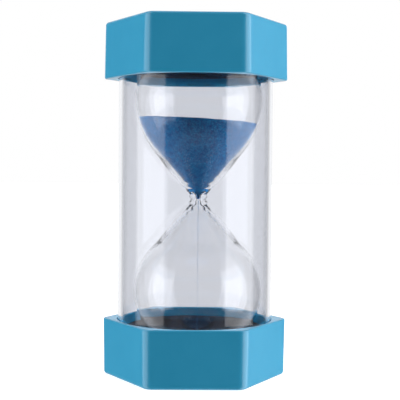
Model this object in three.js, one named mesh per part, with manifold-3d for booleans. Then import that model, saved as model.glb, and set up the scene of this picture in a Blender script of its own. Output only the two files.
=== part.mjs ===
// A sand timer: a blown-glass bulb with blue sand, standing between foam pads inside a clear tube,
// with a hexagonal moulded cap on each end. Millimetres, +Z up, origin at the centre of the base.
import * as THREE from "three";
import { mergeVertices } from "three/addons/utils/BufferGeometryUtils.js";
import Module from "manifold-3d";

const wasm = await Module();
wasm.setup();

// ---- Driving dimensions -------------------------------------------------------------------------
const HEIGHT = 160; // overall, foot to top
const GAP = 0.3; // clearance between neighbouring pieces

const CAP_HEIGHT = 25.6;
const CAP_APOTHEM = 36.75; // centre to flat at the cap's open end
const CAP_DRAFT = 0.42; // apothem lost between the open end and the closed end
const CAP_CORNER_FILLET = 5.5; // the six upright edges
const CAP_END_FILLET = 1.5; // round the closed end
const CAP_RIM_FILLET = 0.6; // round the open end
const CAP_WALL = 2.2;
const SOCKET_FLOOR = 6; // the face that the tube and the foam stand on
const SOCKET_WALL = 1.4;
const POCKET_ROOF = 2.2; // material left between a corner pocket and the cap's open end
const PLATE_THICKNESS = 2;
const PLATE_CHAMFER = 0.4;
const RELIEF_RADIUS = 29.3; // the round recess behind the end plate

const TUBE_RADIUS = 35;
const TUBE_WALL = 2;
const TUBE_SEGMENTS = 72;
const SOCKET_RADIUS = TUBE_RADIUS + GAP;

const FOAM_RADIUS = TUBE_RADIUS - TUBE_WALL - GAP;
const FOAM_TOP = 21.8;
const FOAM_DISC_TOP = 10.6;
const FOAM_HOLE_RADIUS = 7; // clears the fill stub
const FOAM_EDGE_ROUND = 0.8;

// The glass bulb. Each wall's half profile runs from the waist at mid height to one end of the bulb, as
// [radius, distance from the waist]: down the neck, along the funnel, round the shoulder, to the belly
// and over the rounded end. A pull is a control point of the curve that leads to the next point.
const WAIST = HEIGHT / 2;
const WALLS = {
  outer: {
    neck: [3.8, 0],
    neckPulls: [[3.8, 2.6], [5.2, 4.6]],
    funnelFoot: [8.6, 7.2],
    funnelPull: [12.9, 11.5],
    funnelTop: [18, 18.6],
    shoulderPull: [20.3, 21.7],
    belly: 29.3,
    end: 69,
  },
  inner: {
    neck: [0.6, 0],
    neckPulls: [[0.6, 1.4], [1.6, 4.2]],
    funnelFoot: [5.2, 7.4],
    funnelPull: [9.4, 10.9],
    funnelTop: [16.7, 19.3],
    shoulderPull: [19.1, 22.1],
    belly: 28.6,
    end: 68.3,
  },
};
const SHOULDER_REACH = 15; // how far below the belly its curve begins to turn in
const LOWER_BELLY = 42; // distance of the widest place from the waist; the blown halves differ a little
const UPPER_BELLY = 46;
const STUB = { outer: 4.4, inner: 3, flare: 1, top: WAIST + 71.6 }; // the filling stub on the upper end
const STOPPER = { length: 5, taper: 0.4, head: 0.9, lip: 0.2 };
const BULB_OFFSET = 1.4; // the foam holds the bulb this far off the tube's axis, towards +X

const SAND_START = 0.5; // height above the waist where the packed sand begins
const SAND_LEVEL = 35.8; // mean height of the sand above the waist
const SAND_TILT = 2.9; // degrees, down towards +X
const SAND_CRATER = { radius: 13, depth: 5 };
const STREAM_RADIUS = 0.35;
const HEAP = { radius: 9, height: 4.5 };

const ROUND_SEGMENTS = 48;

// ---- Materials ----------------------------------------------------------------------------------
const plastic = new THREE.MeshStandardMaterial({ color: 0x2f8fbf, roughness: 0.35, metalness: 0 });
const foam = new THREE.MeshStandardMaterial({ color: 0x17181b, roughness: 0.95, metalness: 0 });
const rubber = new THREE.MeshStandardMaterial({ color: 0xd9dad6, roughness: 0.6, metalness: 0 });
const sand = new THREE.MeshStandardMaterial({ color: 0x1f4a86, roughness: 0.9, metalness: 0 });
const acrylic = new THREE.MeshStandardMaterial({
  color: 0xeef1f6, roughness: 0.05, metalness: 0, transparent: true, opacity: 0.25,
});
const glass = new THREE.MeshStandardMaterial({
  color: 0xf2f6fb, roughness: 0.02, metalness: 0, transparent: true, opacity: 0.3,
});

// ---- Helpers ------------------------------------------------------------------------------------
const mesh = (name, geometry, material) => {
  const made = new THREE.Mesh(geometry, material);
  made.name = name;
  return made;
};

// A closed geometry as a solid that can be joined and cut.
function solid(geometry) {
  const bare = geometry.clone();
  bare.deleteAttribute("normal");
  bare.deleteAttribute("uv");
  const merged = mergeVertices(bare, 1e-4);
  return new wasm.Manifold(
    new wasm.Mesh({
      numProp: 3,
      vertProperties: merged.attributes.position.array,
      triVerts: new Uint32Array(merged.index.array),
    }),
  );
}

// A solid back as a geometry.
function geometryOf(body) {
  const { vertProperties, triVerts } = body.getMesh();
  const geometry = new THREE.BufferGeometry();
  geometry.setAttribute("position", new THREE.BufferAttribute(vertProperties, 3));
  geometry.setIndex(new THREE.BufferAttribute(triVerts, 1));
  return geometry;
}

// Turns [radius, height] points about the Z axis. The points run up the outside and down the inside.
function turned(points, segments = ROUND_SEGMENTS) {
  const profile = points.map(([radius, height]) => new THREE.Vector2(radius, height));
  return new THREE.LatheGeometry(profile, segments).rotateX(Math.PI / 2);
}

function cylinder(radius, bottom, top, segments = ROUND_SEGMENTS) {
  return turned([[0, bottom], [radius, bottom], [radius, top], [0, top]], segments);
}

// A hexagon with a flat towards -Y and rounded corners.
function hexagon(apothem, fillet) {
  const outline = new THREE.Path();
  const reach = (apothem - fillet) / Math.cos(Math.PI / 6);
  for (let corner = 0; corner < 6; corner++) {
    const angle = (corner * Math.PI) / 3;
    const [x, y] = [reach * Math.cos(angle), reach * Math.sin(angle)];
    outline.absarc(x, y, fillet, angle - Math.PI / 6, angle + Math.PI / 6);
  }
  return outline.getPoints(5);
}

// A stack of hexagons joined into one solid: levels is a list of [height, apothem, fillet].
function hexStack(levels) {
  const rings = levels.map(([, apothem, fillet]) => hexagon(apothem, fillet));
  const count = rings[0].length;
  const positions = rings.flatMap((ring, i) => ring.flatMap((p) => [p.x, p.y, levels[i][0]]));
  const [first, last] = [levels.length * count, levels.length * count + 1];
  positions.push(0, 0, levels[0][0], 0, 0, levels.at(-1)[0]);
  const faces = [];
  for (let k = 0; k < count; k++) {
    const next = (k + 1) % count;
    for (let i = 0; i + 1 < levels.length; i++) {
      const [low, high] = [i * count, (i + 1) * count];
      faces.push(low + k, low + next, high + next, low + k, high + next, high + k);
    }
    const top = (levels.length - 1) * count;
    faces.push(first, next, k, last, top + k, top + next);
  }
  const geometry = new THREE.BufferGeometry();
  geometry.setAttribute("position", new THREE.Float32BufferAttribute(positions, 3));
  geometry.setIndex(faces);
  return geometry;
}

// ---- Caps ---------------------------------------------------------------------------------------
const apothemAt = (z) => CAP_APOTHEM - CAP_DRAFT * (1 - z / CAP_HEIGHT);

// Levels of a quarter-round edge between a face at height z and the upright side.
function roundedEdge(z, radius, inward) {
  const steps = 4;
  return Array.from({ length: steps + 1 }, (_, i) => {
    const angle = (i / steps) * (Math.PI / 2);
    const level = z + inward * radius * (1 - Math.cos(angle));
    const inset = radius * (1 - Math.sin(angle));
    return [level, apothemAt(level) - inset, CAP_CORNER_FILLET - inset];
  });
}

// A hexagonal block, bored for the tube from its open end. From the closed end it has a well for the end
// plate, a relief behind that plate and a pocket in each corner.
function capShell() {
  const body = hexStack([
    ...roundedEdge(0, CAP_END_FILLET, 1),
    ...roundedEdge(CAP_HEIGHT, CAP_RIM_FILLET, -1).reverse(),
  ]);
  const socket = cylinder(SOCKET_RADIUS, SOCKET_FLOOR, CAP_HEIGHT + 1);
  const inside = CAP_APOTHEM - CAP_DRAFT - CAP_WALL;
  const insideFillet = CAP_CORNER_FILLET - CAP_WALL;
  const well = hexStack([[-1, inside, insideFillet], [PLATE_THICKNESS + GAP, inside, insideFillet]]);
  const pockets = solid(
    hexStack([[-1, inside, insideFillet], [CAP_HEIGHT - POCKET_ROOF, inside, insideFillet]]),
  ).subtract(solid(cylinder(SOCKET_RADIUS + SOCKET_WALL, -2, CAP_HEIGHT)));
  const relief = cylinder(RELIEF_RADIUS, -1, SOCKET_FLOOR - CAP_WALL);
  return geometryOf(
    solid(body).subtract(solid(socket)).subtract(solid(well)).subtract(pockets).subtract(solid(relief)),
  );
}

function endPlate() {
  const apothem = CAP_APOTHEM - CAP_DRAFT - CAP_WALL - GAP;
  const fillet = CAP_CORNER_FILLET - CAP_WALL;
  return hexStack([
    [0, apothem - PLATE_CHAMFER, fillet],
    [PLATE_CHAMFER, apothem, fillet],
    [PLATE_THICKNESS, apothem, fillet],
  ]);
}

// ---- Bulb ---------------------------------------------------------------------------------------
const BULB_STEPS = 3; // points along each curved stretch

// One wall's half profile, drawn gap inside the real one.
function wall(side, belly, gap = 0) {
  const shape = WALLS[side];
  const inset = ([radius, height]) => [radius - gap, height];
  const path = new THREE.Path();
  path.moveTo(...inset(shape.neck));
  path.bezierCurveTo(...inset(shape.neckPulls[0]), ...inset(shape.neckPulls[1]), ...inset(shape.funnelFoot));
  path.quadraticCurveTo(...inset(shape.funnelPull), ...inset(shape.funnelTop));
  const widest = inset([shape.belly, belly]);
  const turn = inset([shape.belly, belly - SHOULDER_REACH]);
  path.bezierCurveTo(...inset(shape.shoulderPull), ...turn, ...widest);
  path.absellipse(0, belly, widest[0], shape.end - belly - gap, 0, Math.PI / 2);
  return path.getPoints(BULB_STEPS).map(({ x, y }) => [Math.max(x, 0), y]);
}

const above = (points) => points.map(([radius, height]) => [radius, WAIST + height]);
const below = (points) => points.map(([radius, height]) => [radius, WAIST - height]).reverse();

// An upper half profile without the part nearer the axis than radius, where the filling stub is.
const upTo = (points, radius) => points.filter(([r, height]) => r > radius || height < UPPER_BELLY);

function bulb() {
  const outside = [
    ...below(wall("outer", LOWER_BELLY)),
    ...above(upTo(wall("outer", UPPER_BELLY), STUB.outer + STUB.flare)).slice(1),
  ];
  const inside = [
    ...below(wall("inner", LOWER_BELLY)),
    ...above(upTo(wall("inner", UPPER_BELLY), STUB.inner + STUB.flare)).slice(1),
  ];
  const [stubFoot, stubMouth] = [WAIST + WALLS.outer.end, WAIST + WALLS.inner.end];
  return turned([
    ...outside,
    [STUB.outer, stubFoot],
    [STUB.outer, STUB.top],
    [STUB.inner, STUB.top],
    [STUB.inner, stubMouth],
    ...inside.reverse(),
  ]);
}

// A plug with a thin head, pressed into the filling stub.
function fillStopper() {
  const [head, shank] = [STUB.outer - STOPPER.lip, STUB.inner - GAP];
  const [tip, shoulder] = [STUB.top - STOPPER.length, STUB.top + GAP];
  return turned([
    [0, tip],
    [shank - STOPPER.taper, tip],
    [shank, shoulder],
    [head, shoulder],
    [head, shoulder + STOPPER.head],
    [0, shoulder + STOPPER.head],
  ], ROUND_SEGMENTS / 2);
}

// ---- Sand ---------------------------------------------------------------------------------------
// Fills the funnel up to a slanting top with a shallow crater over the waist.
function upperSand() {
  const fill = wall("inner", UPPER_BELLY, GAP).filter(([, height]) => height <= UPPER_BELLY);
  const start = fill.findIndex(([, height]) => height > SAND_START);
  const cone = turned(above([[0, fill[start][1]], ...fill.slice(start), [0, fill.at(-1)[1]]]));
  const { radius, depth } = SAND_CRATER;
  const [air, wide] = [30, 2 * TUBE_RADIUS]; // reaches well past the sand
  const lid = turned([[0, -depth], [radius, 0], [wide, 0], [wide, air], [0, air]])
    .rotateY(THREE.MathUtils.degToRad(SAND_TILT))
    .translate(0, 0, WAIST + SAND_LEVEL);
  return geometryOf(solid(cone).subtract(solid(lid)));
}

const HEAP_FOOT = WAIST - WALLS.inner.end + GAP;

// The thread of falling grains, from the waist to the heap.
function sandStream() {
  return cylinder(STREAM_RADIUS, HEAP_FOOT + HEAP.height + GAP, WAIST + 0.3, 8);
}

// A small heap on the bulb's rounded floor, a little flatter towards its peak.
function lowerSand() {
  const depth = WALLS.inner.end - LOWER_BELLY;
  const floorAt = (radius) => HEAP_FOOT + depth * (1 - Math.sqrt(1 - (radius / WALLS.inner.belly) ** 2));
  const { radius, height } = HEAP;
  const rise = HEAP_FOOT + height - floorAt(radius);
  return turned([
    [0, HEAP_FOOT],
    [radius * 0.6, floorAt(radius * 0.6)],
    [radius, floorAt(radius)],
    [radius * 0.45, floorAt(radius) + rise * 0.6],
    [0, HEAP_FOOT + height],
  ]);
}

// ---- Foam ---------------------------------------------------------------------------------------
// A ring whose seat follows the bulb's rounded end.
function foamRing(belly) {
  const clearance = 1.5 * GAP;
  const across = WALLS.outer.belly + clearance;
  const depth = WALLS.outer.end - belly + clearance;
  const foot = FOAM_DISC_TOP + GAP;
  const angleAt = (z) => Math.asin((WAIST - belly - z) / depth);
  const [mouth, rim] = [angleAt(foot + FOAM_EDGE_ROUND), angleAt(FOAM_TOP)];
  const steps = 5;
  const seat = Array.from({ length: steps + 1 }, (_, i) => {
    const angle = mouth + ((rim - mouth) * i) / steps;
    return [across * Math.cos(angle), WAIST - belly - depth * Math.sin(angle)];
  });
  const [mouthRadius, rimRadius] = [seat[0][0], seat.at(-1)[0]];
  const ring = turned([
    [0, foot],
    [FOAM_RADIUS, foot],
    [FOAM_RADIUS, FOAM_TOP - FOAM_EDGE_ROUND],
    [FOAM_RADIUS - FOAM_EDGE_ROUND, FOAM_TOP],
    [0, FOAM_TOP],
  ]);
  const hollow = turned([
    [0, foot - 1],
    [mouthRadius, foot - 1],
    ...seat,
    [rimRadius, FOAM_TOP + 1],
    [0, FOAM_TOP + 1],
  ]).translate(BULB_OFFSET, 0, 0);
  return geometryOf(solid(ring).subtract(solid(hollow)));
}

function foamDisc() {
  const [foot, top] = [SOCKET_FLOOR + GAP, FOAM_DISC_TOP];
  return turned([
    [FOAM_HOLE_RADIUS, foot],
    [FOAM_RADIUS, foot],
    [FOAM_RADIUS, top],
    [FOAM_HOLE_RADIUS, top],
    [FOAM_HOLE_RADIUS, foot],
  ]);
}

// ---- Assembly -----------------------------------------------------------------------------------
// The pieces of one end, built as the bottom one. belly is that of the bulb's half at that end.
function end(name, belly) {
  const group = new THREE.Group();
  group.add(
    mesh(`${name}_cap`, capShell(), plastic),
    mesh(`${name}_end_plate`, endPlate(), plastic),
    mesh(`${name}_foam_disc`, foamDisc(), foam),
    mesh(`${name}_foam_ring`, foamRing(belly), foam),
  );
  return group;
}

function clearTube() {
  const [foot, top] = [SOCKET_FLOOR + GAP, HEIGHT - SOCKET_FLOOR - GAP];
  const bore = TUBE_RADIUS - TUBE_WALL;
  const section = [[bore, foot], [TUBE_RADIUS, foot], [TUBE_RADIUS, top], [bore, top], [bore, foot]];
  return turned(section, TUBE_SEGMENTS);
}

// The bulb with its stopper and its sand.
function filledBulb() {
  const group = new THREE.Group();
  group.position.x = BULB_OFFSET;
  group.add(
    mesh("glass_bulb", bulb(), glass),
    mesh("fill_stopper", fillStopper(), rubber),
    mesh("upper_sand", upperSand(), sand),
    mesh("falling_sand", sandStream(), sand),
    mesh("lower_sand", lowerSand(), sand),
  );
  return group;
}

const timer = new THREE.Group();
const topEnd = end("top", UPPER_BELLY);
topEnd.rotation.x = Math.PI;
topEnd.position.z = HEIGHT;
timer.add(end("bottom", LOWER_BELLY), topEnd, mesh("clear_tube", clearTube(), acrylic), filledBulb());

export default timer;
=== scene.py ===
"""Looks for the sand timer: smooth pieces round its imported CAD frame, and a plain white studio."""

import math

import bmesh
import bpy
import numpy as np
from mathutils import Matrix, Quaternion, Vector, noise


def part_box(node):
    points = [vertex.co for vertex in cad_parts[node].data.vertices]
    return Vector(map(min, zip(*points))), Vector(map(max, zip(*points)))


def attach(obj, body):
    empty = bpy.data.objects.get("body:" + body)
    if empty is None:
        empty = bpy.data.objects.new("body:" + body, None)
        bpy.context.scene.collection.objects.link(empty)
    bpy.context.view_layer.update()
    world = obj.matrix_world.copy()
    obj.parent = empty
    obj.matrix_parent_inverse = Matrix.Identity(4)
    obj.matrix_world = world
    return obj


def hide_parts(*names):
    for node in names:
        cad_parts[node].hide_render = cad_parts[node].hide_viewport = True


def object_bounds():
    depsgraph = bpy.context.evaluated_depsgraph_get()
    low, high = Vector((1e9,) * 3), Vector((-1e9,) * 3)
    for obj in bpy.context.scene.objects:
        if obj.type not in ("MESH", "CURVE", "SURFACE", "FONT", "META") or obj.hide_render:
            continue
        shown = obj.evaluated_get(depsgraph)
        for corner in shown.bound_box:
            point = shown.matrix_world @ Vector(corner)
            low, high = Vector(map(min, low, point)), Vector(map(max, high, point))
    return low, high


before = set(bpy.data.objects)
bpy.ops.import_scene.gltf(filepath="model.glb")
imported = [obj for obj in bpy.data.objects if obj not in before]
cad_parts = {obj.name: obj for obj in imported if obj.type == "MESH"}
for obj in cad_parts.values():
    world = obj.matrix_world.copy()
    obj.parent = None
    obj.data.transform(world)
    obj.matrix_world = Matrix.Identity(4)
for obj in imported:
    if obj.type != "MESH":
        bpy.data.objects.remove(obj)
cad_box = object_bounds()

MM = 0.001
TINY = 1e-6  # anything nearer the axis than this is on it
ROUND = 128  # segments of a turned piece

# ---- Sizes, in millimetres ------------------------------------------------------------------------
CORNER_FILLET = 5.5  # the cap's six upright edges
END_FILLET = 1.5  # round the cap's closed end
RIM_FILLET = 0.6  # round the cap's open end
WELL_FILLET = 0.3  # round the well that the end plate is let into
MOUTH_FILLET = 0.35  # where the socket opens
MOUTH_LAND = {"outside": 1.0, "inside": 0.9}  # where the open end's two outlines stop, past the socket
CAP_DRAFT = 0.42
CAP_WALL = 2.2
SOCKET_FLOOR = 6
RELIEF_STEP = 6  # how far the recess behind the end plate keeps inside the socket's wall
PLATE_THICKNESS = 2
PLATE_FILLETS = {"outside": 0.4, "inside": 0.2}
GAP = 0.3
TUBE_WALL = 2
TUBE_EDGE = 0.25  # rounding of the tube's cut ends

FOAM_EDGE = 0.9
FOAM_FOOT_EDGE = 0.4
FOAM_HOLE = 7  # clears the fill stub
FOAM_CLEARANCE = 0.2  # between the ring's seat and the glass
# The ring's flat faces go this far in at least, and its seat stops this far under the upper one, and
# meets each face this much wider than it is.
FOAM_LIP = {"reach": 3, "drop": 0.4, "top": 0.8, "foot": 0.3}

# The bulb's walls, as in the CAD: [radius, distance from the waist], with the pulls of each curve.
WALLS = {
    "outer": {
        "neck": (3.8, 0),
        "neck_pulls": ((3.8, 2.6), (5.2, 4.6)),
        "foot": (8.6, 7.2),
        "funnel_pull": (12.9, 11.5),
        "top": (18, 18.6),
        "shoulder_pull": (20.3, 21.7),
        "belly": 29.3,
        "end": 69,
    },
    "inner": {
        "neck": (0.6, 0),
        "neck_pulls": ((0.6, 1.4), (1.6, 4.2)),
        "foot": (5.2, 7.4),
        "funnel_pull": (9.4, 10.9),
        "top": (16.7, 19.3),
        "shoulder_pull": (19.1, 22.1),
        "belly": 28.6,
        "end": 68.3,
    },
}
SHOULDER_REACH = 15
LOWER_BELLY = 42
UPPER_BELLY = 46
# Rings round the neck, left by spinning it in the flame. They fade away from the waist, and spare the
# orifice, where the glass is nearer the axis than beyond.
NECK_RING = {"spacing": 2.6, "depth": 0.3, "from": 3.9, "reach": 6, "beyond": 2.5}
# The glass's slight unevenness, which fades towards the axis.
WAVER = {"length": 26, "depth": 0.12, "full_from": 20, "none_within": 1}
# The filling stub. Its root begins flare wider than its side, which starts rise further up.
STUB = {
    "outer": {"radius": 4.4, "flare": 1.6, "rise": 0.6, "fillet": 0.8},
    "inner": {"radius": 3, "flare": 1.2, "rise": 0.4, "fillet": 0.6},
    "top": 71.6,
    "lip": 0.5,
}
STOPPER = {"play": 0.1, "inset": 0.2, "head": 0.9, "taper": 0.4, "under": 0.2, "edge": 0.3}

SAND_GAP = 0.06  # the grains touch the glass only at points, with air between them
SAND_LEVEL = 35.8
SAND_TILT = math.radians(2.9)
SAND_TIP = {"from_waist": 0.4, "length": 0.3, "radius": 0.05}
SAND_RIM = 26.5  # about where the surface meets the glass
SAND_RIPPLE = {"height": 0.25, "length": 5}
CRATER = {"radius": 13, "depth": 5, "power": 1.2}
HEAP = {"radius": 9, "power": 1.15}
HEAP_GRAIN = {"length": 2.2, "depth": 0.12, "full_from": 3, "above": 0.2}
STREAM = {
    "grains": 220,
    "seed": 7,
    "thinning": 1.35,  # over 1, the grains lie further apart as they fall
    "spread": 0.10,
    "widening": 0.16,  # what the whole fall adds to the spread
    "smallest": 0.08,  # radius of the smallest grain
    "variation": 0.05,  # what the largest has more
    "limit": 0.33,  # no grain reaches further from the axis
}


def middle(node):
    """The axis of a CAD node, as its x and y in millimetres."""
    low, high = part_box(node)
    return (low.x + high.x) / 2 / MM, (low.y + high.y) / 2 / MM


def heights_of(node):
    """The foot and top of a CAD node in millimetres."""
    low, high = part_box(node)
    return low.z / MM, high.z / MM


HEIGHT = cad_box[1].z / MM
WAIST = HEIGHT / 2
BULB_AXIS = middle("glass_bulb")
TUBE_RADIUS = (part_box("clear_tube")[1].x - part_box("clear_tube")[0].x) / 2 / MM
CAP_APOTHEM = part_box("bottom_cap")[1].y / MM
CAP_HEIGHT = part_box("bottom_cap")[1].z / MM
FOAM_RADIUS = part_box("bottom_foam_ring")[1].x / MM


# ---- Mesh helpers ---------------------------------------------------------------------------------
def finish_mesh(name, bm, material, sharp=35):
    """The bmesh as an object, smooth except where two faces meet at more than sharp degrees."""
    bmesh.ops.remove_doubles(bm, verts=bm.verts, dist=1e-7)
    bmesh.ops.recalc_face_normals(bm, faces=bm.faces)
    for face in bm.faces:
        face.smooth = True
    for edge in bm.edges:
        edge.smooth = len(edge.link_faces) == 2 and edge.calc_face_angle() < math.radians(sharp)
    mesh = bpy.data.meshes.new(name)
    bm.to_mesh(mesh)
    bm.free()
    made = bpy.data.objects.new(name, mesh)
    bpy.context.scene.collection.objects.link(made)
    made.data.materials.append(material)
    return made


def skin(bm, rings):
    """Quads between neighbouring rings of equal length. A ring of one point closes to a tip."""
    made = [[bm.verts.new(Vector(p) * MM) for p in ring] for ring in rings]
    for low, high in zip(made, made[1:]):
        count = max(len(low), len(high))
        for k in range(count):
            n = (k + 1) % count
            corners = [low[k % len(low)], low[n % len(low)], high[n % len(high)], high[k % len(high)]]
            unique = list(dict.fromkeys(corners))
            if len(unique) > 2:
                bm.faces.new(unique)


def circle(radius, z, count=ROUND, axis=(0, 0)):
    """A ring of points, or the one point on the axis where the radius is nothing."""
    if radius < TINY:
        return [(axis[0], axis[1], z)]
    turn = 2 * math.pi / count
    return [
        (axis[0] + radius * math.cos(k * turn), axis[1] + radius * math.sin(k * turn), z)
        for k in range(count)
    ]


def turned(name, profile, material, count=ROUND, axis=(0, 0), shift=None, sharp=35):
    """Turns (radius, z) points about a vertical axis. A profile off the axis is closed on itself."""
    bm = bmesh.new()
    points = list(profile)
    if points[0][0] > TINY:
        points.append(points[0])
    skin(bm, [circle(r, z, count, axis) for r, z in points])
    if shift:
        for vertex in bm.verts:
            vertex.co = shift(vertex.co)
    return finish_mesh(name, bm, material, sharp)


def filleted(corners, steps=5, guard=0.3):
    """A closed polyline's points, each corner (x, y) or, where it is rounded, (x, y, radius).

    A guard point on each side of a fillet keeps its shading off the flats beside it."""
    places = [Vector(corner[:2]) for corner in corners]
    towards = [(after - here).normalized() for here, after in zip(places, places[1:] + places[:1])]
    halves = [(-before).angle(ahead) / 2 for before, ahead in zip([towards[-1], *towards], towards)]
    reaches = [
        corner[2] / math.tan(half) if len(corner) > 2 else 0
        for corner, half in zip(corners, halves)
    ]
    points = []
    for i, corner in enumerate(corners):
        here, back, ahead = places[i], -towards[i - 1], towards[i]
        if not reaches[i]:
            points.append(tuple(here))
            continue
        following = (i + 1) % len(corners)
        room_back = (places[i - 1] - here).length - reaches[i] - reaches[i - 1]
        room_ahead = (places[following] - here).length - reaches[i] - reaches[following]
        start, end = here + back * reaches[i], here + ahead * reaches[i]
        centre = here + (back + ahead).normalized() * corner[2] / math.sin(halves[i])
        points.append(tuple(start + back * min(guard, room_back / 3)))
        for k in range(steps + 1):
            spoke = (start - centre).slerp(end - centre, k / steps)
            points.append(tuple(centre + spoke.normalized() * corner[2]))
        points.append(tuple(end + ahead * min(guard, room_ahead / 3)))
    return points


def bezier(points, steps):
    """Points along a Bezier curve of any order, without its first."""
    made = []
    for i in range(1, steps + 1):
        row = [np.array(p, float) for p in points]
        while len(row) > 1:
            row = [a + (b - a) * i / steps for a, b in zip(row, row[1:])]
        made.append(tuple(row[0]))
    return made


def bulb_wall(side, belly, gap=0.0, steps=14):
    """One wall's half profile from the waist to its end, drawn gap inside the real one."""
    shape = WALLS[side]
    widest = shape["belly"]
    shoulder = [shape["top"], shape["shoulder_pull"], (widest, belly - SHOULDER_REACH), (widest, belly)]
    path = [shape["neck"]]
    path += bezier([shape["neck"], *shape["neck_pulls"], shape["foot"]], steps)
    path += bezier([shape["foot"], shape["funnel_pull"], shape["top"]], steps)
    path += bezier(shoulder, steps)
    path = [(r - gap, h) for r, h in path]
    depth = shape["end"] - gap - belly
    for k in range(1, 2 * steps + 1):
        angle = k / (2 * steps) * math.pi / 2
        path.append((max(0, (widest - gap) * math.cos(angle)), belly + depth * math.sin(angle)))
    return path


def above(points):
    """The half profile over the waist."""
    return [(r, WAIST + h) for r, h in points]


def below(points):
    """The half profile under the waist, so that it runs upwards too."""
    return [(r, WAIST - h) for r, h in reversed(points)]


# ---- Node helpers ---------------------------------------------------------------------------------
class Nodes:
    """Short calls for building one node tree. Scales are per metre, and distances in metres."""

    def __init__(self, tree):
        self.tree = tree
        tree.nodes.clear()

    def add(self, kind, **settings):
        made = self.tree.nodes.new(kind)
        for key, value in settings.items():
            setattr(made, key, value)
        return made

    def link(self, source, target):
        self.tree.links.new(source, target)

    def put(self, target, value):
        if isinstance(value, bpy.types.NodeSocket):
            self.link(value, target)
        else:
            target.default_value = value

    def math(self, operation, a, b=0.0):
        made = self.add("ShaderNodeMath", operation=operation)
        self.put(made.inputs[0], a)
        self.put(made.inputs[1], b)
        return made.outputs[0]

    def stretch(self, value, low, high, out_low=0.0, out_high=1.0, smooth=False):
        made = self.add("ShaderNodeMapRange", interpolation_type="SMOOTHSTEP" if smooth else "LINEAR")
        for socket, v in zip(made.inputs, (value, low, high, out_low, out_high)):
            self.put(socket, v)
        return made.outputs[0]

    def mix(self, factor, a, b):
        made = self.add("ShaderNodeMix", data_type="RGBA")
        self.put(made.inputs["Factor"], factor)
        self.put(made.inputs[6], a)
        self.put(made.inputs[7], b)
        return made.outputs[2]

    def noise(self, where, scale, detail=2.0, roughness=0.5):
        made = self.add("ShaderNodeTexNoise")
        self.link(where, made.inputs["Vector"])
        made.inputs["Scale"].default_value = scale
        made.inputs["Detail"].default_value = detail
        made.inputs["Roughness"].default_value = roughness
        return made.outputs["Fac"]

    def cells(self, where, scale):
        made = self.add("ShaderNodeTexVoronoi")
        self.link(where, made.inputs["Vector"])
        made.inputs["Scale"].default_value = scale
        return made.outputs

    def bump(self, height, strength, distance, normal=None):
        made = self.add("ShaderNodeBump")
        made.inputs["Strength"].default_value = strength
        made.inputs["Distance"].default_value = distance
        self.link(height, made.inputs["Height"])
        if normal:
            self.link(normal, made.inputs["Normal"])
        return made.outputs["Normal"]


def surface(name, **values):
    """A material with one Principled shader, its node calls, that shader and the object coordinates."""
    material = bpy.data.materials.new(name)
    material.use_nodes = True
    nodes = Nodes(material.node_tree)
    shader = nodes.add("ShaderNodeBsdfPrincipled")
    out = nodes.add("ShaderNodeOutputMaterial")
    nodes.link(shader.outputs[0], out.inputs["Surface"])
    for key, value in values.items():
        shader.inputs[key.replace("_", " ")].default_value = value
    where = nodes.add("ShaderNodeTexCoord").outputs["Object"]
    return material, nodes, shader, where


def colour(red, green, blue):
    return (red, green, blue, 1.0)


# ---- Materials ------------------------------------------------------------------------------------
def cap_plastic():
    """Moulded blue ABS: even colour, a faint flow pattern and the fine texture of the mould."""
    material, nodes, shader, where = surface("cap_plastic", IOR=1.5)
    deep, bright = colour(0.024, 0.262, 0.438), colour(0.028, 0.278, 0.458)
    flow = nodes.noise(where, 60, 3)
    nodes.link(nodes.mix(nodes.stretch(flow, 0.3, 0.7), deep, bright), shader.inputs["Base Color"])
    wear = nodes.noise(where, 420, 4, 0.6)
    nodes.link(nodes.stretch(wear, 0.25, 0.75, 0.23, 0.27), shader.inputs["Roughness"])
    texture = nodes.noise(where, 900, 2)
    normal = nodes.bump(texture, 0.03, 0.00003)
    ripple = nodes.noise(where, 120, 1)
    nodes.link(nodes.bump(ripple, 0.03, 0.0002, normal), shader.inputs["Normal"])
    return material


def clear_acrylic():
    """Extruded clear tube with a faint smoke tint and lengthwise die lines."""
    material, nodes, shader, where = surface(
        "clear_acrylic",
        Base_Color=colour(0.893, 0.903, 0.940),
        Roughness=0.0,
        IOR=1.49,
        Transmission_Weight=1.0,
    )
    along = nodes.add("ShaderNodeMapping")
    along.inputs["Scale"].default_value = (1, 1, 0.01)
    nodes.link(where, along.inputs["Vector"])
    lines = nodes.noise(along.outputs[0], 160, 2)
    nodes.link(nodes.bump(lines, 0.05, 0.0002), shader.inputs["Normal"])
    return material


def blown_glass():
    """Clear lamp-blown glass. Its slight waves are in the mesh and in a faint bump."""
    material, nodes, shader, where = surface(
        "blown_glass",
        Base_Color=colour(1, 1, 1),
        Roughness=0.0,
        IOR=1.5,
        Transmission_Weight=1.0,
    )
    waves = nodes.noise(where, 70, 1)
    nodes.link(nodes.bump(waves, 0.04, 0.0004), shader.inputs["Normal"])
    return material


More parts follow.
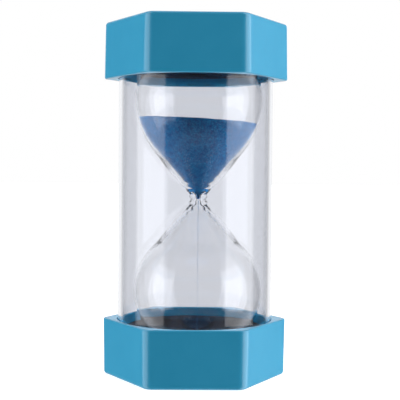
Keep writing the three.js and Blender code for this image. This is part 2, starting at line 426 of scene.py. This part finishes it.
def blue_sand():
    """Dyed quartz sand: each grain has its own shade, and a few catch the light."""
    material, nodes, shader, where = surface("blue_sand", IOR=1.46)
    deep, bright = colour(0.002, 0.072, 0.230), colour(0.007, 0.285, 0.660)
    grains = nodes.cells(where, 3600)
    shade = nodes.add("ShaderNodeSeparateColor")
    nodes.link(grains["Color"], shade.inputs[0])
    drift = nodes.noise(where, 600, 3, 0.65)
    own = nodes.math("MULTIPLY", shade.outputs[0], 0.6)
    tone = nodes.math("ADD", own, nodes.math("MULTIPLY", drift, 0.9))
    nodes.link(nodes.mix(nodes.stretch(tone, 0.35, 1.15), deep, bright), shader.inputs["Base Color"])
    nodes.link(nodes.stretch(shade.outputs[1], 0.9, 1.0, 0.85, 0.35), shader.inputs["Roughness"])
    nodes.link(nodes.bump(grains["Distance"], 0.5, 0.0001), shader.inputs["Normal"])
    return material


def black_foam():
    """Closed-cell black foam, with fine pores on its cut faces, painted darker in the pores as shade."""
    material, nodes, shader, where = surface("black_foam", IOR=1.45, Specular_IOR_Level=0.15)
    # The darker colour at each cell's middle is painted shade in the pore that the bump sinks there.
    pore_shade, wall = colour(0.005, 0.005, 0.009), colour(0.013, 0.013, 0.020)
    cells = nodes.cells(where, 1500)["Distance"]
    nodes.link(nodes.mix(nodes.stretch(cells, 0.1, 0.7), pore_shade, wall), shader.inputs["Base Color"])
    lumps = nodes.noise(where, 500, 3)
    nodes.link(nodes.stretch(lumps, 0.3, 0.7, 0.8, 0.95), shader.inputs["Roughness"])
    pores = nodes.bump(cells, 0.5, 0.0003)
    nodes.link(nodes.bump(lumps, 0.3, 0.0004, pores), shader.inputs["Normal"])
    return material


def pale_rubber():
    """The stopper's matt rubber, slightly mottled."""
    material, nodes, shader, where = surface("pale_rubber", IOR=1.45)
    mottle = nodes.noise(where, 700, 3)
    pale = nodes.mix(mottle, colour(0.62, 0.62, 0.58), colour(0.72, 0.72, 0.69))
    nodes.link(pale, shader.inputs["Base Color"])
    nodes.link(nodes.stretch(mottle, 0.3, 0.7, 0.5, 0.65), shader.inputs["Roughness"])
    nodes.link(nodes.bump(mottle, 0.15, 0.0001), shader.inputs["Normal"])
    return material


plastic, acrylic, glass = cap_plastic(), clear_acrylic(), blown_glass()
sand, foam, rubber = blue_sand(), black_foam(), pale_rubber()


def place(piece, node, slot):
    """The piece rides on the part's one body and stands for a CAD node, which it hides. Its slot is not
    used.
    """
    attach(piece, "root")
    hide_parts(node)
    return piece


# ---- Caps -----------------------------------------------------------------------------------------
ARC_STEPS = 10
# Points along each flat, from one corner to the next. The outer two guard the fillets.
FLAT_PLACES = (0.02, 0.1, 0.3, 0.5, 0.7, 0.9, 0.98)


def hexagon(apothem, fillet):
    """A hexagon with a flat towards -Y and rounded corners, as (x, y) points."""
    reach = (apothem - fillet) / math.cos(math.pi / 6)
    arcs = []
    for corner in range(6):
        angle = corner * math.pi / 3
        centre = Vector((reach * math.cos(angle), reach * math.sin(angle)))
        spread = [angle + math.pi / 3 * (k / ARC_STEPS - 0.5) for k in range(ARC_STEPS + 1)]
        arcs.append([centre + fillet * Vector((math.cos(a), math.sin(a))) for a in spread])
    points = []
    for arc, following in zip(arcs, arcs[1:] + arcs[:1]):
        points += arc
        points += [arc[-1].lerp(following[0], place) for place in FLAT_PLACES]
    return points


def hex_ring(apothem, fillet, z):
    return [(p.x, p.y, z) for p in hexagon(apothem, fillet)]


def cap_rings(flip):
    """The cap's rings from the middle of its closed end, out, up the sides, and down into the socket."""
    outer = CAP_APOTHEM - CAP_DRAFT
    inside = outer - CAP_WALL
    socket = TUBE_RADIUS + GAP
    relief = socket - RELIEF_STEP
    well, roof = PLATE_THICKNESS + GAP, SOCKET_FLOOR - CAP_WALL
    section = filleted([
        (inside, well),
        (inside, 0, WELL_FILLET),
        (outer, 0, END_FILLET),
        (CAP_APOTHEM, CAP_HEIGHT, RIM_FILLET),
        (socket + MOUTH_LAND["outside"], CAP_HEIGHT),
    ], 8)
    mouth = filleted([
        (socket + MOUTH_LAND["inside"], CAP_HEIGHT),
        (socket, CAP_HEIGHT, MOUTH_FILLET),
        (socket, SOCKET_FLOOR),
    ])
    # The round rings have their points in the same directions as the hexagon's, so the two join.
    spokes = [p.normalized() for p in hexagon(CAP_APOTHEM, CORNER_FILLET)]

    def round_ring(radius, z):
        return [(s.x * radius, s.y * radius, z) for s in spokes]

    rings = [[(0, 0, roof)], round_ring(relief, roof), round_ring(relief, well)]
    for apothem, z in section[:-1]:
        rings.append(hex_ring(apothem, CORNER_FILLET - (CAP_APOTHEM - apothem), z))
    rings += [round_ring(radius, z) for radius, z in mouth[1:]]
    rings.append([(0, 0, SOCKET_FLOOR)])
    if flip:
        rings = [[(x, -y, HEIGHT - z) for x, y, z in points] for points in rings]
    return rings


def make_end(name, flip):
    """One end's cap and closing plate."""
    bm = bmesh.new()
    skin(bm, cap_rings(flip))
    place(finish_mesh(f"{name}_cap_smooth", bm, plastic), f"{name}_cap", "cap_plastic")
    apothem = CAP_APOTHEM - CAP_DRAFT - CAP_WALL - GAP
    section = filleted([
        (0, 0),
        (apothem, 0, PLATE_FILLETS["outside"]),
        (apothem, PLATE_THICKNESS, PLATE_FILLETS["inside"]),
        (0, PLATE_THICKNESS),
    ], 4)
    rings = []
    for inset, z in section:
        z = HEIGHT - z if flip else z
        rings.append(hex_ring(inset, CORNER_FILLET - CAP_WALL, z) if inset else [(0, 0, z)])
    bm = bmesh.new()
    skin(bm, rings)
    place(finish_mesh(f"{name}_plate_smooth", bm, plastic), f"{name}_end_plate", "cap_plastic")


# ---- Foam -----------------------------------------------------------------------------------------
def make_foam(name, flip, belly):
    """The disc under the bulb's end and the ring round it, whose inside follows the glass."""

    def at(z):
        return HEIGHT - z if flip else z

    foot, top = sorted(at(z) for z in heights_of(f"{name}_foam_disc"))
    section = filleted([
        (FOAM_HOLE, foot),
        (FOAM_RADIUS, foot, FOAM_FOOT_EDGE),
        (FOAM_RADIUS, top, FOAM_EDGE),
        (FOAM_HOLE, top, FOAM_EDGE),
    ])
    disc = turned(f"{name}_foam_pad", [(r, at(z)) for r, z in section], foam)
    place(disc, f"{name}_foam_disc", "foam")

    foot, top = sorted(at(z) for z in heights_of(f"{name}_foam_ring"))
    across = WALLS["outer"]["belly"] + FOAM_CLEARANCE
    depth = WALLS["outer"]["end"] - belly + FOAM_CLEARANCE

    def angle_at(z):
        return math.asin((WAIST - belly - z) / depth)

    first, last, steps = angle_at(top - FOAM_LIP["drop"]), angle_at(foot + FOAM_EDGE), 14
    seat = []
    for k in range(steps + 1):
        angle = first + (last - first) * k / steps
        seat.append((across * math.cos(angle), WAIST - belly - depth * math.sin(angle)))
    seat = [(seat[0][0] + FOAM_LIP["top"], top), *seat, (seat[-1][0] + FOAM_LIP["foot"], foot)]
    lip = filleted([
        (FOAM_RADIUS - FOAM_LIP["reach"], foot),
        (FOAM_RADIUS, foot, FOAM_FOOT_EDGE),
        (FOAM_RADIUS, top, FOAM_EDGE),
        (FOAM_RADIUS - FOAM_LIP["reach"], top),
    ])
    rings = [circle(r, at(z)) for r, z in lip]
    rings += [circle(r, at(z), axis=BULB_AXIS) for r, z in seat]
    bm = bmesh.new()
    skin(bm, [*rings, rings[0]])
    collar = finish_mesh(f"{name}_foam_collar", bm, foam)
    place(collar, f"{name}_foam_ring", "foam")


# ---- Tube and bulb --------------------------------------------------------------------------------
def make_tube():
    foot, top = heights_of("clear_tube")
    bore = TUBE_RADIUS - TUBE_WALL
    section = filleted([
        (bore, foot, TUBE_EDGE),
        (TUBE_RADIUS, foot, TUBE_EDGE),
        (TUBE_RADIUS, top, TUBE_EDGE),
        (bore, top, TUBE_EDGE),
    ], 3)
    place(turned("acrylic_tube", section, acrylic, 2 * ROUND), "clear_tube", "acrylic")


def from_axis(co):
    """A point's x and y from the bulb's axis, in metres, and its distance from it."""
    x, y = co.x - BULB_AXIS[0] * MM, co.y - BULB_AXIS[1] * MM
    return x, y, math.hypot(x, y)


def waver(co):
    """A point of the glass, moved in or out by its unevenness and by the neck's rings."""
    x, y, radius = from_axis(co)
    if radius < WAVER["none_within"] * MM:
        return co
    swell = noise.noise(Vector((x, y, co.z)) / (WAVER["length"] * MM))
    drift = swell * WAVER["depth"] * MM * min(1, radius / (WAVER["full_from"] * MM))
    if radius > NECK_RING["beyond"] * MM:
        from_waist = co.z / MM - WAIST
        turns = (from_waist - NECK_RING["from"]) / NECK_RING["spacing"]
        fade = math.exp(-((from_waist / NECK_RING["reach"]) ** 2))
        drift += NECK_RING["depth"] * MM * fade * math.cos(2 * math.pi * turns)
    return co + Vector((x, y, 0)) / radius * drift


def make_bulb():
    """Both walls of the blown bulb, closed round the filling stub's lip."""

    def wall(side):
        """One wall of both chambers, from the lower end up to the root of the filling stub."""
        root = STUB[side]["radius"] + STUB[side]["flare"]
        upper = [(r, h) for r, h in bulb_wall(side, UPPER_BELLY) if r > root or h < UPPER_BELLY]
        return below(bulb_wall(side, LOWER_BELLY)) + above(upper)[1:]

    def root_corner(side, last):
        stub = STUB[side]
        return stub["radius"], last[1] + stub["rise"], stub["fillet"]

    outer, inner = wall("outer"), wall("inner")
    stub_top = WAIST + STUB["top"]
    lip = filleted([
        outer[-1],
        root_corner("outer", outer[-1]),
        (STUB["outer"]["radius"], stub_top, STUB["lip"]),
        (STUB["inner"]["radius"], stub_top, STUB["lip"]),
        root_corner("inner", inner[-1]),
        inner[-1],
    ])[1:-1]
    profile = outer + lip + inner[::-1]
    bulb = turned("blown_bulb", profile, glass, 160, BULB_AXIS, waver, sharp=60)
    place(bulb, "glass_bulb", "bulb_glass")


def make_stopper():
    """A tapered plug whose head lies on the stub's lip."""
    foot, top = heights_of("fill_stopper")
    shank = STUB["inner"]["radius"] - STOPPER["play"]
    head = STUB["outer"]["radius"] - STOPPER["inset"]
    under = top - STOPPER["head"]
    section = filleted([
        (0, foot),
        (shank - STOPPER["taper"], foot, STOPPER["taper"]),
        (shank, under),
        (head, under, STOPPER["under"]),
        (head, top, STOPPER["edge"]),
        (0, top),
    ])
    place(turned("stopper_plug", section, rubber, 48, BULB_AXIS), "fill_stopper", "stopper")


# ---- Sand -----------------------------------------------------------------------------------------
def sand_top(x, y):
    """Height of the upper sand's surface at a point from the bulb's axis: a tilted plain and a crater."""
    radius = math.hypot(x, y)
    slope = -math.tan(SAND_TILT) * x
    crater = CRATER["depth"] * max(0, 1 - radius / CRATER["radius"]) ** CRATER["power"]
    length = SAND_RIPPLE["length"]
    ripple = SAND_RIPPLE["height"] * noise.noise(Vector((x / length, y / length, 3)))
    return WAIST + SAND_LEVEL + slope - crater + ripple


def make_upper_sand():
    """Sand up the inside of the glass to its surface's rim, and over the surface to the crater's middle."""
    wall = above((r, h) for r, h in bulb_wall("inner", UPPER_BELLY, SAND_GAP) if h <= UPPER_BELLY)
    wall = [(max(SAND_TIP["radius"], r), z) for r, z in wall if z > WAIST + SAND_TIP["from_waist"]]
    radii, heights = [r for r, z in wall], [z for r, z in wall]
    foot = heights[0]
    spokes, wall_rings, top_rings = 160, 44, 40
    crowding = 0.9  # under 1, the rings up the wall lie closer together towards the rim

    def rim_radius(angle):
        """Where the surface meets the glass in one direction."""
        radius = SAND_RIM
        for _ in range(8):
            z = sand_top(radius * math.cos(angle), radius * math.sin(angle))
            radius = float(np.interp(z, heights, radii))
        return radius

    def point(x, y, z):
        return BULB_AXIS[0] + x, BULB_AXIS[1] + y, z

    angles = [2 * math.pi * k / spokes for k in range(spokes)]
    rims = [rim_radius(a) for a in angles]
    rim_heights = [sand_top(r * math.cos(a), r * math.sin(a)) for r, a in zip(rims, angles)]
    rings = [[point(0, 0, foot - SAND_TIP["length"])]]
    for i in range(wall_rings + 1):
        ring = []
        for a, rim_z in zip(angles, rim_heights):
            z = foot + (rim_z - foot) * (i / wall_rings) ** crowding
            r = float(np.interp(z, heights, radii))
            ring.append(point(r * math.cos(a), r * math.sin(a), z))
        rings.append(ring)
    for i in range(1, top_rings):
        ring = []
        for a, rim in zip(angles, rims):
            r = rim * (1 - i / top_rings)
            x, y = r * math.cos(a), r * math.sin(a)
            ring.append(point(x, y, sand_top(x, y)))
        rings.append(ring)
    rings.append([point(0, 0, sand_top(0, 0))])
    bm = bmesh.new()
    skin(bm, rings)
    place(finish_mesh("sand_above", bm, sand, 60), "upper_sand", "sand")


def make_stream():
    """Loose grains falling down the axis, close together at the waist and further apart below."""
    foot, top = heights_of("falling_sand")
    rng = np.random.default_rng(STREAM["seed"])
    bm = bmesh.new()
    fall = top - foot
    for i in range(STREAM["grains"]):
        drop = fall * ((i + rng.random()) / STREAM["grains"]) ** STREAM["thinning"]
        spread = STREAM["spread"] + STREAM["widening"] * drop / fall
        radius = STREAM["smallest"] + STREAM["variation"] * rng.random()
        limit = STREAM["limit"] - radius
        x, y = np.clip(rng.normal(0, spread, 2), -limit, limit)
        z = top - radius - drop * (1 - 2 * radius / fall)
        where = Vector((BULB_AXIS[0] + x, BULB_AXIS[1] + y, z))
        made = bmesh.ops.create_icosphere(bm, subdivisions=1, radius=radius * MM)
        for vertex in made["verts"]:
            vertex.co += where * MM
    place(finish_mesh("sand_stream", bm, sand, 80), "falling_sand", "sand")


def make_heap():
    """The first grains, heaped on the bulb's rounded floor."""
    depth = WALLS["inner"]["end"] - LOWER_BELLY
    floor_foot = WAIST - WALLS["inner"]["end"] + SAND_GAP
    peak, edge = heights_of("lower_sand")[1], HEAP["radius"]

    def floor_at(radius):
        return floor_foot + depth * (1 - math.sqrt(1 - (radius / WALLS["inner"]["belly"]) ** 2))

    def top_at(radius):
        return floor_at(edge) + (peak - floor_at(edge)) * (1 - radius / edge) ** HEAP["power"]

    def roughen(co):
        """Small lumps on the heap's top, which fade towards its peak."""
        x, y, radius = from_axis(co)
        if co.z <= (floor_at(min(edge, radius / MM)) + HEAP_GRAIN["above"]) * MM:
            return co
        lump = noise.noise(Vector((x, y, 0)) / (HEAP_GRAIN["length"] * MM))
        swell = lump * HEAP_GRAIN["depth"] * MM * min(1, radius / (HEAP_GRAIN["full_from"] * MM))
        return co + Vector((0, 0, swell))

    steps = 14
    places = [edge * k / steps for k in range(steps + 1)]
    profile = [(r, floor_at(r)) for r in places] + [(r, top_at(r)) for r in places[-2::-1]]
    place(turned("sand_heap", profile, sand, 96, BULB_AXIS, roughen), "lower_sand", "sand")


# ---- Studio ---------------------------------------------------------------------------------------
# Azimuths are in degrees from the camera's side of the object (-Y), positive towards +X, and heights
# are sines of the elevation. Each softbox is (from, to, radiance).
MIRRORED_BOXES = ((-98, -47, 1.5), (46, 96, 1.8))  # as clear surfaces reflect them
MIRRORED_HEIGHT = (-0.5, 0.62)
INNER_BOXES = ((-135, -62, 3.2), (62, 135, 4.2))  # as they light what stands inside the clear tube
INNER_HEIGHT = (-0.75, 0.95)
LIGHTING_BOXES = ((-109, -47, 2.55), (52, 119, 3.25))  # as they light all other surfaces
LIGHTING_HEIGHT = (-0.9, 0.9)
EDGE_SOFTNESS = 1.2  # degrees
HEIGHT_SOFTNESS = 0.05
BACKDROP_EDGE = (128, 154)  # it brightens between these
FRONT_LIGHT = 0.05
POLE_LIGHT = 0.4  # overhead and underfoot
POLE_HEIGHT = (0.66, 0.9)  # it brightens between these
LIGHT_TINT = (0.985, 0.9925, 1)
FLOOR_HALF_SIZE = 6  # metres
FLOOR_GLOW = 0.62
CAMERA = {
    "distance": 0.4534,  # metres
    "azimuth": math.radians(-0.78),  # towards +X
    "pitch": math.radians(1.71),
    "roll": math.radians(0.48),
    "lowered": 0.0003,  # what it circles lies this far under mid height
    "aside": 0.0022,  # it aims this far to the right of that
    "lens": 89.2,
    "sensor": 36,
}


def make_world():
    """A tall softbox on each side, a backdrop behind and a dim room in front.

    Clear surfaces, what stands behind them and all the rest each get their own softboxes. The camera
    sees only white, and so does every path straight through the clear pieces."""
    world = bpy.data.worlds.new("studio")
    bpy.context.scene.world = world
    world.use_nodes = True
    nodes = Nodes(world.node_tree)
    direction = nodes.add("ShaderNodeSeparateXYZ")
    nodes.link(nodes.add("ShaderNodeTexCoord").outputs["Generated"], direction.inputs[0])
    x, y, z = direction.outputs
    bearing = nodes.math("ARCTAN2", x, nodes.math("MULTIPLY", y, -1))
    azimuth = nodes.math("MULTIPLY", bearing, 180 / math.pi)
    turn = nodes.math("ABSOLUTE", azimuth)
    rays = nodes.add("ShaderNodeLightPath").outputs

    def window(value, low, high, soft):
        rise = nodes.stretch(value, low - soft, low + soft, smooth=True)
        fall = nodes.stretch(value, high - soft, high + soft, 1.0, 0.0, smooth=True)
        return nodes.math("MULTIPLY", rise, fall)

    # A singular ray has left a perfectly smooth surface last, so a clear one.
    clear = rays["Is Singular Ray"]
    inner = nodes.math("MULTIPLY", clear, nodes.math("MINIMUM", rays["Diffuse Depth"], 1))
    clean = nodes.math("SUBTRACT", clear, inner)
    mirrored = nodes.math("MULTIPLY", clean, nodes.math("MINIMUM", rays["Glossy Depth"], 1))
    straight = nodes.math("SUBTRACT", clean, mirrored)
    others = nodes.math("SUBTRACT", 1, clear)

    backdrop = nodes.stretch(turn, *BACKDROP_EDGE, 0, 1 - FRONT_LIGHT, True)
    light = nodes.math("ADD", FRONT_LIGHT, backdrop)
    for share, boxes, height in (
        (mirrored, MIRRORED_BOXES, MIRRORED_HEIGHT),
        (inner, INNER_BOXES, INNER_HEIGHT),
        (others, LIGHTING_BOXES, LIGHTING_HEIGHT),
    ):
        tall = nodes.math("MULTIPLY", share, window(z, *height, HEIGHT_SOFTNESS))
        for low, high, radiance in boxes:
            box = nodes.math("MULTIPLY", window(azimuth, low, high, EDGE_SOFTNESS), tall)
            light = nodes.math("ADD", light, nodes.math("MULTIPLY", box, radiance))
    poles = nodes.stretch(nodes.math("ABSOLUTE", z), *POLE_HEIGHT, 0, POLE_LIGHT, True)
    light = nodes.math("ADD", light, poles)
    light = nodes.stretch(straight, 0, 1, light, 1)

    seen = nodes.add("ShaderNodeBackground")
    seen.inputs["Color"].default_value = colour(1, 1, 1)
    lit = nodes.add("ShaderNodeBackground")
    lit.inputs["Color"].default_value = colour(*LIGHT_TINT)
    nodes.link(light, lit.inputs["Strength"])
    choose = nodes.add("ShaderNodeMixShader")
    nodes.link(rays["Is Camera Ray"], choose.inputs[0])
    nodes.link(lit.outputs[0], choose.inputs[1])
    nodes.link(seen.outputs[0], choose.inputs[2])
    out = nodes.add("ShaderNodeOutputWorld")
    nodes.link(choose.outputs[0], out.inputs["Surface"])


def make_floor():
    """A white floor that glows a little. It takes the object's shadow, and no light from it comes back."""
    material = bpy.data.materials.new("white_floor")
    material.use_nodes = True
    nodes = Nodes(material.node_tree)
    shader = nodes.add("ShaderNodeBsdfPrincipled")
    shader.inputs["Base Color"].default_value = colour(0.75, 0.75, 0.75)
    shader.inputs["Roughness"].default_value = 0.9
    shader.inputs["Emission Color"].default_value = colour(1, 1, 1)
    shader.inputs["Emission Strength"].default_value = FLOOR_GLOW
    nodes.link(shader.outputs[0], nodes.add("ShaderNodeOutputMaterial").inputs["Surface"])
    bm = bmesh.new()
    bmesh.ops.create_grid(bm, x_segments=1, y_segments=1, size=FLOOR_HALF_SIZE)
    floor = finish_mesh("floor", bm, material)
    floor.location.z = cad_box[0].z
    floor.visible_glossy = False
    floor.visible_transmission = False
    floor.visible_diffuse = False
    floor.visible_shadow = False


def make_camera():
    """Eye level a little over mid height, slightly left of centre, tipped down and rolled."""
    azimuth, pitch = CAMERA["azimuth"], CAMERA["pitch"]
    back = Vector((
        math.sin(azimuth) * math.cos(pitch),
        -math.cos(azimuth) * math.cos(pitch),
        math.sin(pitch),
    ))
    right = Vector((math.cos(azimuth), math.sin(azimuth), 0))
    centre = Vector((0, 0, (cad_box[0].z + cad_box[1].z) / 2 - CAMERA["lowered"]))
    data = bpy.data.cameras.new("camera")
    data.sensor_width = CAMERA["sensor"]
    data.lens = CAMERA["lens"]
    camera = bpy.data.objects.new("camera", data)
    bpy.context.scene.collection.objects.link(camera)
    camera.location = centre + back * CAMERA["distance"]
    aim = centre + right * CAMERA["aside"] - camera.location
    camera.rotation_mode = "QUATERNION"
    camera.rotation_quaternion = aim.to_track_quat("-Z", "Y") @ Quaternion((0, 0, 1), CAMERA["roll"])
    bpy.context.scene.camera = camera


def set_look():
    """Plain colours, and enough bounces for a bulb inside a tube."""
    scene = bpy.context.scene
    scene.view_settings.view_transform = "Standard"
    scene.cycles.max_bounces = 24
    scene.cycles.transmission_bounces = 24
    scene.cycles.glossy_bounces = 8
    scene.cycles.blur_glossy = 0


make_end("bottom", False)
make_end("top", True)
make_foam("bottom", False, LOWER_BELLY)
make_foam("top", True, UPPER_BELLY)
make_tube()
make_bulb()
make_stopper()
make_upper_sand()
make_stream()
make_heap()
make_world()
make_floor()
make_camera()
set_look()
